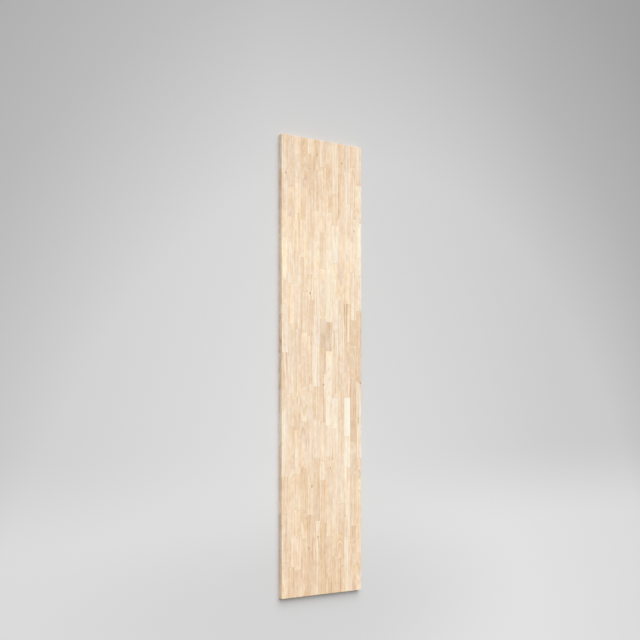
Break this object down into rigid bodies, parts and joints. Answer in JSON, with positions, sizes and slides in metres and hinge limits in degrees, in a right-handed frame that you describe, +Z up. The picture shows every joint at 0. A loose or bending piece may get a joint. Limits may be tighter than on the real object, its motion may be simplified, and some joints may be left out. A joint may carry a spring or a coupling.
{
  "type": "butcher block countertop",
  "caption": "Long flat butcher block countertop of solid hardwood staves, finger-jointed end to end and edge-glued into one thick panel with eased edges.",
  "frame": {"origin": "on the floor, under the middle of the panel as it lies flat", "axes": "+X along the countertop, +Y from the front edge to the back edge, +Z up out of the worktop"},
  "size_m": [3.048, 0.635, 0.0381],
  "materials": {
    "oiled_hardwood": "sanded smooth, satin oil"
  },
  "bodies": {
    "root": {"strip_01_odd_staves": "oiled_hardwood", "strip_01_even_staves": "oiled_hardwood", "strip_02_odd_staves": "oiled_hardwood", "strip_02_even_staves": "oiled_hardwood", "strip_03_odd_staves": "oiled_hardwood", "strip_03_even_staves": "oiled_hardwood", "strip_04_odd_staves": "oiled_hardwood", "strip_04_even_staves": "oiled_hardwood", "strip_05_odd_staves": "oiled_hardwood", "strip_05_even_staves": "oiled_hardwood", "strip_06_odd_staves": "oiled_hardwood", "strip_06_even_staves": "oiled_hardwood", "strip_07_odd_staves": "oiled_hardwood", "strip_07_even_staves": "oiled_hardwood", "strip_08_odd_staves": "oiled_hardwood", "strip_08_even_staves": "oiled_hardwood", "strip_09_odd_staves": "oiled_hardwood", "strip_09_even_staves": "oiled_hardwood", "strip_10_odd_staves": "oiled_hardwood", "strip_10_even_staves": "oiled_hardwood", "strip_11_odd_staves": "oiled_hardwood", "strip_11_even_staves": "oiled_hardwood", "strip_12_odd_staves": "oiled_hardwood", "strip_12_even_staves": "oiled_hardwood", "strip_13_odd_staves": "oiled_hardwood", "strip_13_even_staves": "oiled_hardwood"}
  },
  "joints": []
}
